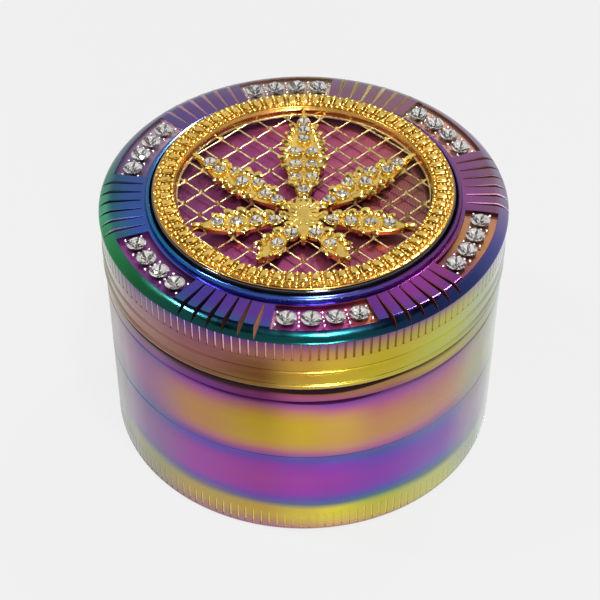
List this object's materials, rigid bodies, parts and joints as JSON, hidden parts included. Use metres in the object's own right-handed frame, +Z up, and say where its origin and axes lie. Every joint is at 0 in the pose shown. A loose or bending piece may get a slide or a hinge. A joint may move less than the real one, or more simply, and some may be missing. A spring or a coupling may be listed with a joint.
{
  "type": "herb grinder",
  "caption": "Round four-section hand grinder: magnetic lid with a jewelled leaf medallion, toothed chamber, sieve section and screw-on base cup.",
  "frame": {"origin": "on the grinder's axis, on the surface that the base cup's foot stands on", "axes": "+Z up the axis, -Y towards the front, where one stone pocket lies; the leaf's tip points to +Y"},
  "size_m": [0.063, 0.063, 0.0452],
  "materials": {
    "rainbow_plating": "polished",
    "gold_plating": "polished",
    "black_plastic": "gloss",
    "rhinestone": "polished",
    "steel_gauze": "satin",
    "spring_steel": "satin",
    "magnet_nickel": "polished",
    "nylon": "satin"
  },
  "bodies": {
    "base": {"base_cup": "rainbow_plating"},
    "sieve_screw": {"screen_ring": "spring_steel"},
    "sieve_section": {"sieve_body": "rainbow_plating", "sieve_screen": "steel_gauze"},
    "chamber_screw": {"chamber_magnet": "magnet_nickel"},
    "chamber": {"chamber_body": "rainbow_plating"},
    "lid_lifter": {"slip_ring": "nylon"},
    "lid": {"lid": "rainbow_plating", "lid_magnet": "magnet_nickel", "medallion_seat": "black_plastic", "medallion_ring": "gold_plating", "medallion_lattice": "gold_plating", "leaf_emblem": "gold_plating", "leaf_stones_top": "rhinestone", "leaf_stones_upper_left": "rhinestone", "leaf_stones_upper_right": "rhinestone", "leaf_stones_side_left": "rhinestone", "leaf_stones_side_right": "rhinestone", "leaf_stones_lower_left": "rhinestone", "leaf_stones_lower_right": "rhinestone", "lid_stones_1": "rhinestone", "lid_stones_2": "rhinestone", "lid_stones_3": "rhinestone", "lid_stones_4": "rhinestone", "lid_stones_5": "rhinestone", "lid_stones_6": "rhinestone"}
  },
  "joints": [
    {"name": "sieve_rise", "type": "slide", "parent": "base", "child": "sieve_screw", "axis": [0, 0, 1], "range_m": [0, 0.00502]},
    {"name": "sieve_turn", "type": "hinge", "parent": "sieve_screw", "child": "sieve_section", "pos_m": [0, 0, 0.0172], "axis": [0, 0, 1], "range_deg": [0, 900]},
    {"name": "chamber_rise", "type": "slide", "parent": "sieve_section", "child": "chamber_screw", "axis": [0, 0, 1], "range_m": [0, 0.00502]},
    {"name": "chamber_turn", "type": "hinge", "parent": "chamber_screw", "child": "chamber", "pos_m": [0, 0, 0.0295], "axis": [0, 0, 1], "range_deg": [0, 900]},
    {"name": "lid_lift", "type": "slide", "parent": "chamber", "child": "lid_lifter", "axis": [0, 0, 1], "range_m": [0, 0.025]},
    {"name": "lid_spin", "type": "hinge", "parent": "lid_lifter", "child": "lid", "pos_m": [0, 0, 0.0321], "axis": [0, 0, 1], "continuous": true}
  ],
  "couplings": [
    {"joint": "sieve_rise", "follows": "sieve_turn", "m_per_rad": 0.00031831},
    {"joint": "chamber_rise", "follows": "chamber_turn", "m_per_rad": 0.00031831}
  ]
}
